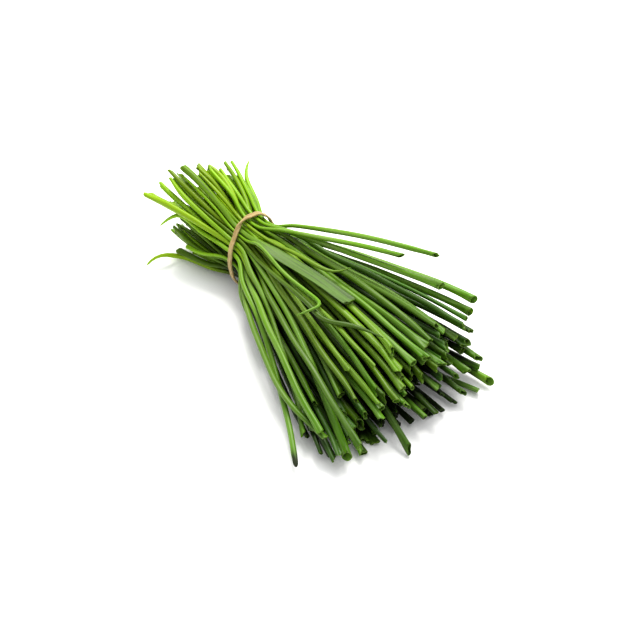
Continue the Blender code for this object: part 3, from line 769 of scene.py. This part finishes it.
# %% Fine streaks that run along a leaf
def make_veins():
    tree, given, result = new_group(
        "leaf veins", [("Vector", "Grain", None), ("Float", "Fineness", 5.0), ("Float", "Contrast", 1.0)],
        [("Float", "Streaks"), ("Float", "Height")])
    grain = given.outputs["Grain"]
    fine = noise(tree, stretched(tree, grain, (1.0, 1.0, 0.35)), given.outputs["Fineness"], 3.0)
    wide = noise(tree, stretched(tree, grain, (1.0, 1.0, 0.6)), 1.6, 1.0)
    both = math(tree, "ADD", math(tree, "MULTIPLY", fine, 0.65), math(tree, "MULTIPLY", wide, 0.35))
    centred = math(tree, "SUBTRACT", both, 0.5)
    streaks = math(tree, "MULTIPLY_ADD", centred, given.outputs["Contrast"])
    streaks.node.inputs[2].default_value = 0.5
    wire(tree, streaks, result.inputs["Streaks"])
    wire(tree, fine, result.inputs["Height"])
    return tree


# %% Pale at the base, deep further on, with each leaf a little different
def make_growth():
    tree, given, result = new_group(
        "leaf growth", [("Color", "Base", None), ("Color", "Middle", None), ("Color", "Tip", None),
                        ("Float", "Age", 0.5), ("Float", "Tone", 0.5), ("Float", "Streaks", 0.5)],
        [("Color", "Color")])
    shifted = math(tree, "ADD", given.outputs["Age"], ranged(tree, given.outputs["Tone"], 0, 1, -0.14, 0.14))
    past_base = ranged(tree, shifted, 0.12, 0.48)
    near_tip = ranged(tree, shifted, 0.55, 0.95)
    young = blend_colour(tree, past_base, given.outputs["Base"], given.outputs["Middle"])
    whole = blend_colour(tree, near_tip, young, given.outputs["Tip"])
    bright = ranged(tree, given.outputs["Tone"], 0, 1, 0.52, 1.62)
    lively = math(tree, "MULTIPLY", bright, ranged(tree, given.outputs["Streaks"], 0.2, 0.8, 0.66, 1.34))
    shaded = tree.nodes.new("ShaderNodeVectorMath")
    shaded.operation = "SCALE"
    wire(tree, whole, shaded.inputs[0])
    wire(tree, lively, shaded.inputs["Scale"])
    wire(tree, shaded.outputs[0], result.inputs["Color"])
    return tree


# %% The pale waxy bloom, in patches, laid on thickly as painted highlight too
def make_bloom_and_sheen():
    tree, given, result = new_group(
        "waxy bloom and painted sheen", [("Vector", "Grain", None), ("Float", "Amount", 0.3)], [("Float", "Mask")])
    patch = noise(tree, stretched(tree, given.outputs["Grain"], (0.6, 0.6, 1.0)), 2.2, 3.0, 0.6)
    mask = math(tree, "MULTIPLY", ranged(tree, patch, 0.42, 0.68), given.outputs["Amount"])
    wire(tree, mask, result.inputs["Mask"])
    return tree


# %% Cut rims, open insides and darkened tips
def make_ends():
    tree, given, result = new_group(
        "leaf ends", [("Color", "Color", None), ("Color", "Rim", None), ("Color", "Inside", None),
                      ("Color", "Dark", None), ("Float", "Cut", 0.0), ("Float", "Hollow", 0.0),
                      ("Float", "Darkness", 0.0), ("Float", "Streaks", 0.5)],
        [("Color", "Color")])
    cut = math(tree, "MULTIPLY", given.outputs["Cut"], 0.55)
    rimmed = blend_colour(tree, cut, given.outputs["Color"], given.outputs["Rim"])
    hollow = blend_colour(tree, given.outputs["Hollow"], rimmed, given.outputs["Inside"])
    ragged = ranged(tree, given.outputs["Streaks"], 0.2, 0.8, -0.25, 0.25)
    edge = math(tree, "ADD", given.outputs["Darkness"], ragged)
    dark = blend_colour(tree, ranged(tree, edge, 0.35, 0.75), hollow, given.outputs["Dark"])
    wire(tree, dark, result.inputs["Color"])
    return tree


# %% Painted shade: leaves under others and low at the cut face are darkened
def make_painted_shade():
    tree, given, result = new_group(
        "leaf painted shade", [("Color", "Color", None), ("Float", "Depth", 0.0), ("Float", "Darkest", 0.2)],
        [("Color", "Color")])
    light = ranged(tree, given.outputs["Depth"], 0.08, 0.50, 1.0, given.outputs["Darkest"])
    shaded = tree.nodes.new("ShaderNodeVectorMath")
    shaded.operation = "SCALE"
    wire(tree, given.outputs["Color"], shaded.inputs[0])
    wire(tree, light, shaded.inputs["Scale"])
    wire(tree, shaded.outputs[0], result.inputs["Color"])
    return tree


VEINS, GROWTH, BLOOM_AND_SHEEN, ENDS, PAINTED_SHADE = make_veins(), make_growth(), make_bloom_and_sheen(), make_ends(), make_painted_shade()
print("leaf effects:", [group.name for group in (VEINS, GROWTH, BLOOM_AND_SHEEN, ENDS, PAINTED_SHADE)])


def use(tree, group, **values):
    """Places a node group in a material and fills its inputs by name."""
    node = tree.nodes.new("ShaderNodeGroup")
    node.node_tree = group
    for label, value in values.items():
        wire(tree, value, node.inputs[label])
    return node


# %% [markdown]
# ## The leaf materials
# Chive green is a strong yellow green, low in blue. Leaves differ: most are mid
# green, some bright and some deep, and the flat one has a chalky blue-green
# bloom. The gloss is that of a thin wax coat, broken by the veins. The pale bloom
# is laid on more thickly than the wax alone, as painted highlight, most on the
# brightest leaves, and painted shade darkens leaves lying under others.

# %% Leaf materials
def leaf_material(name, base, middle, tip, bloom_and_sheen_amount, bloom_and_sheen_colour, roughness, contrast=1.5):
    material = bpy.data.materials.new(name)
    material.use_nodes = True
    tree = material.node_tree
    shader = tree.nodes["Principled BSDF"]
    grain = noted(tree, "grain")
    veins = use(tree, VEINS, Grain=grain, Fineness=5.5, Contrast=contrast)
    streaks = veins.outputs["Streaks"]
    growth = use(tree, GROWTH, Base=(*base, 1), Middle=(*middle, 1), Tip=(*tip, 1),
                 Age=noted(tree, "age"), Tone=noted(tree, "tone"), Streaks=streaks)
    # Pale bloom past the band, more on brighter-toned leaves: real wax, thickened as painted highlight for
    # the leaves' whitish shine.
    past_band = ranged(tree, noted(tree, "age"), 0.30, 0.40, 0.0, bloom_and_sheen_amount)
    bloom_and_sheen_share = math(tree, "MULTIPLY", past_band, ranged(tree, noted(tree, "tone"), 0, 1, 0.45, 1.7))
    bloom = use(tree, BLOOM_AND_SHEEN, Grain=grain, Amount=bloom_and_sheen_share)
    with_bloom_and_sheen = blend_colour(tree, bloom.outputs["Mask"], growth.outputs["Color"], (*bloom_and_sheen_colour, 1))
    ends = use(tree, ENDS, Color=with_bloom_and_sheen, Rim=(0.13, 0.21, 0.030, 1), Inside=(0.070, 0.140, 0.010, 1),
               Dark=(0.020, 0.028, 0.010, 1), Cut=noted(tree, "cut"), Hollow=noted(tree, "inside"),
               Darkness=noted(tree, "dark"), Streaks=streaks)
    # Painted shade: the stored shade darkens the leaf's colour, to 0.09 of it at most
    shaded_leaf = use(tree, PAINTED_SHADE, Color=ends.outputs["Color"], Depth=noted(tree, "shade"), Darkest=0.09)
    wire(tree, shaded_leaf.outputs["Color"], shader.inputs["Base Color"])
    rough = math(tree, "ADD", ranged(tree, streaks, 0.2, 0.8, roughness - 0.07, roughness + 0.10),
                 math(tree, "MULTIPLY", bloom.outputs["Mask"], 0.25), clamp=True)
    wire(tree, rough, shader.inputs["Roughness"])
    bump = tree.nodes.new("ShaderNodeBump")
    bump.inputs["Strength"].default_value = 0.35
    bump.inputs["Distance"].default_value = 0.00012
    wire(tree, veins.outputs["Height"], bump.inputs["Height"])
    wire(tree, bump.outputs["Normal"], shader.inputs["Normal"])
    shader.inputs["IOR"].default_value = 1.42
    shader.inputs["Specular IOR Level"].default_value = 0.34
    shader.inputs["Subsurface Weight"].default_value = 0.12
    shader.inputs["Subsurface Radius"].default_value = (0.0008, 0.0014, 0.0003)
    shader.inputs["Subsurface Scale"].default_value = 1.0
    return material


LEAF_MATERIALS = {
    "leaf_green": leaf_material("leaf_green", (0.180, 0.320, 0.006), (0.092, 0.188, 0.007),
                                (0.062, 0.152, 0.005), 0.30, (0.26, 0.34, 0.14), 0.38),
    "leaf_bright": leaf_material("leaf_bright", (0.240, 0.385, 0.007), (0.142, 0.258, 0.008),
                                 (0.106, 0.222, 0.006), 0.22, (0.32, 0.40, 0.16), 0.36),
    "leaf_deep": leaf_material("leaf_deep", (0.125, 0.240, 0.006), (0.050, 0.124, 0.005),
                               (0.032, 0.096, 0.004), 0.24, (0.16, 0.24, 0.09), 0.40),
    "leaf_bluish": leaf_material("leaf_bluish", (0.150, 0.280, 0.008), (0.098, 0.178, 0.034),
                                 (0.056, 0.116, 0.014), 0.30, (0.125, 0.185, 0.075), 0.48, 3.6),
}
print("leaf materials:", list(LEAF_MATERIALS))

# %% [markdown]
# ## Dress every leaf
# Leaves that share a solid share a piece. Each piece hides its plain solid, rides
# on the bunch and takes the finish that the record gives that solid.

# %% Build the leaf pieces
sheaves = {}
for index, (leaf, path) in enumerate(zip(leaves, paths)):
    habit = leaf_habit(leaf, index)
    sheaves.setdefault(leaf["node"], Leaves()).add(leaf_rings(leaf, path, habit), habit)

faces = 0
for node, sheaf in sheaves.items():
    mesh = sheaf.mesh(node + "_fine")
    piece = bpy.data.objects.new(node + "_fine", mesh)
    bpy.context.scene.collection.objects.link(piece)
    mesh.materials.append(LEAF_MATERIALS[SLOT_OF[node]])
    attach(piece, "root")
    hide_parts(node)
    faces += len(mesh.polygons)
print("leaf pieces:", len(sheaves), "faces:", faces)

# %% [markdown]
# ## The rubber band
# One flat loop of tan latex, cut from a tube, so its edges are square but soft.
# It is drawn tight, turns over on itself in two places, and sinks a little
# between the leaves under it.

# %% Band shape
BAND_STEPS = 300
BAND_ROUND = 20  # points in the band's section
SQUARENESS = 5.0  # power that rounds the section's corners: 2 would make it an oval


def band_profile():
    """The band's section as a rounded rectangle: (across, out) pairs."""
    spots = []
    for k in range(BAND_ROUND):
        a = 2 * pi * (k + 0.5) / BAND_ROUND
        x, y = cos(a), sin(a)
        reach = (abs(x) ** SQUARENESS + abs(y) ** SQUARENESS) ** (-1 / SQUARENESS)
        spots.append((x * reach * BAND_WIDTH / 2, y * reach * BAND_THICK / 2))
    return np.array(spots)


def band_mesh():
    profile = band_profile()
    middle = BAND_INNER + BAND_THICK / 2
    points, grain = [], []
    for k in range(BAND_STEPS):
        degrees = 360.0 * k / BAND_STEPS
        angle = radians(degrees)
        turned = 0.0
        for place, way in TWISTS:
            off = min(max((degrees - place) / TWIST_SPAN, -0.5), 0.5)
            off = off + sin(2 * pi * off) / (2 * pi) * 0.5
            turned += way * pi * (off + 0.5)
        reach = BAND_WIDTH * abs(sin(turned)) + BAND_THICK * abs(cos(turned))
        lifted = (reach - BAND_THICK) / 2
        out = np.array([0.0, cos(angle), sin(angle)])
        sink = 0.10 * sin(13 * angle + 0.4) + 0.06 * sin(29 * angle)
        centre = out * (middle + lifted + min(sink, 0.05))
        centre[2] += BAND_Z
        pressed = min(max((BAND_THICK / 2 + 0.25 - centre[2]) / 0.25, 0.0), 1.0)
        centre[2] = max(centre[2], BAND_THICK / 2)
        out = unit(out * (1 - pressed) + np.array([0.0, 0.0, -1.0]) * pressed)
        wander = 0.12 * sin(3 * angle + 1.0) + 0.07 * sin(7 * angle)
        centre[0] = band_shift(centre[1], centre[2]) + wander
        thin = 1.0 - 0.10 * abs(sin(turned)) + 0.03 * sin(5 * angle)
        for across, outwards in profile:
            x = across * thin * cos(turned) - outwards * sin(turned)
            y = across * thin * sin(turned) + outwards * cos(turned)
            spot = centre + np.array([1.0, 0.0, 0.0]) * x + out * y
            spot[2] = max(spot[2], 0.0)
            points.append((spot - (BAND_FOOT, 0.0, 0.0)) * MM)
            grain.append((across, outwards, 0.6 * sin(angle) + cos(angle)))
    faces = []
    for k in range(BAND_STEPS):
        row, after = k * BAND_ROUND, ((k + 1) % BAND_STEPS) * BAND_ROUND
        for i in range(BAND_ROUND):
            j = (i + 1) % BAND_ROUND
            faces.append((row + i, after + i, after + j, row + j))
    mesh = bpy.data.meshes.new("rubber_band_fine")
    mesh.from_pydata([tuple(p) for p in points], [], faces)
    mesh.shade_smooth()
    note(mesh, "grain", "FLOAT_VECTOR", np.array(grain))
    return mesh


# %% Band material
def band_material():
    material = bpy.data.materials.new("band_rubber")
    material.use_nodes = True
    tree = material.node_tree
    shader = tree.nodes["Principled BSDF"]
    grain = noted(tree, "grain")
    place = tree.nodes.new("ShaderNodeTexCoord").outputs["Object"]
    lines = noise(tree, stretched(tree, grain, (3.2, 3.2, 1.5)), 2.2, 3.0)
    dust = noise(tree, place, 900.0, 4.0, 0.65)
    cloud = noise(tree, place, 90.0, 2.0)
    worn = blend_colour(tree, ranged(tree, cloud, 0.35, 0.65), (0.37, 0.27, 0.105, 1), (0.50, 0.40, 0.185, 1))
    lined = blend_colour(tree, ranged(tree, lines, 0.38, 0.64, 0.0, 0.75), worn, (0.20, 0.115, 0.035, 1))
    dusty = blend_colour(tree, ranged(tree, dust, 0.52, 0.75, 0.0, 0.5), lined, (0.56, 0.46, 0.27, 1))
    wire(tree, dusty, shader.inputs["Base Color"])
    wire(tree, ranged(tree, dust, 0.3, 0.7, 0.50, 0.72), shader.inputs["Roughness"])
    bump = tree.nodes.new("ShaderNodeBump")
    bump.inputs["Strength"].default_value = 0.5
    bump.inputs["Distance"].default_value = 0.0001
    wire(tree, math(tree, "ADD", lines, math(tree, "MULTIPLY", dust, 0.5)), bump.inputs["Height"])
    wire(tree, bump.outputs["Normal"], shader.inputs["Normal"])
    shader.inputs["Subsurface Weight"].default_value = 0.15
    shader.inputs["Subsurface Radius"].default_value = (0.0012, 0.0007, 0.0003)
    shader.inputs["Subsurface Scale"].default_value = 1.0
    return material


band = bpy.data.objects.new("rubber_band_fine", band_mesh())
bpy.context.scene.collection.objects.link(band)
band.data.materials.append(band_material())
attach(band, "root")
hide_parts("rubber_band")
print("band faces:", len(band.data.polygons))

# %% [markdown]
# ## Table and light
# A white table that runs out of sight and soft light from every side give the
# clean, bright setting. One large lamp high up behind the bunch models the leaves
# and lays a faint shadow towards the viewer.

# %% Table
TABLE_REACH = 6.0  # metres from its middle to each edge


def table_top():
    mesh = bpy.data.meshes.new("table")
    far = TABLE_REACH
    corners = [(-far, -far, 0), (far, -far, 0), (far, far, 0), (-far, far, 0)]
    mesh.from_pydata(corners, [], [(0, 1, 2, 3)])
    table = bpy.data.objects.new("table", mesh)
    bpy.context.scene.collection.objects.link(table)
    material = bpy.data.materials.new("white_table")
    material.use_nodes = True
    shader = material.node_tree.nodes["Principled BSDF"]
    shader.inputs["Base Color"].default_value = (0.90, 0.90, 0.90, 1)
    shader.inputs["Roughness"].default_value = 0.6
    shader.inputs["Specular IOR Level"].default_value = 0.2
    shader.inputs["Emission Color"].default_value = (1.0, 1.0, 1.0, 1)
    shader.inputs["Emission Strength"].default_value = 0.03
    mesh.materials.append(material)


table_top()


# %% Lamps
def soft_lamp(name, right, back, height, size, power, colour=(1.0, 1.0, 1.0)):
    """An area lamp placed by the viewer's right, the viewer's back-to-front line and height, in metres."""
    to_right = Vector((cos(TURN), sin(TURN), 0.0))
    to_back = Vector((-sin(TURN), cos(TURN), 0.0))
    light = bpy.data.lights.new(name, "AREA")
    light.shape = "DISK"
    light.size = size
    light.energy = power
    light.color = colour
    lamp = bpy.data.objects.new(name, light)
    lamp.location = AIM + to_right * right + to_back * back + Vector((0, 0, height))
    lamp.rotation_euler = (lamp.location - AIM).to_track_quat("Z", "Y").to_euler()
    bpy.context.scene.collection.objects.link(lamp)


soft_lamp("key", 0.05, 0.90, 1.4, 0.80, 27.0, (1.0, 0.985, 0.94))
soft_lamp("sky", 0.1, 0.2, 1.4, 1.6, 9.0)

world = bpy.data.worlds.new("studio")
world.use_nodes = True
world.node_tree.nodes["Background"].inputs["Color"].default_value = (1.0, 1.0, 1.0, 1)
world.node_tree.nodes["Background"].inputs["Strength"].default_value = 0.70
bpy.context.scene.world = world
bpy.context.scene.view_settings.view_transform = "Standard"
bpy.context.scene.view_settings.look = "Medium High Contrast"

# %% [markdown]
# ## Finish
# The fine leaves reach at most about a millimetre past the box of the plain
# solids.

# %% Update
bpy.context.view_layer.update()
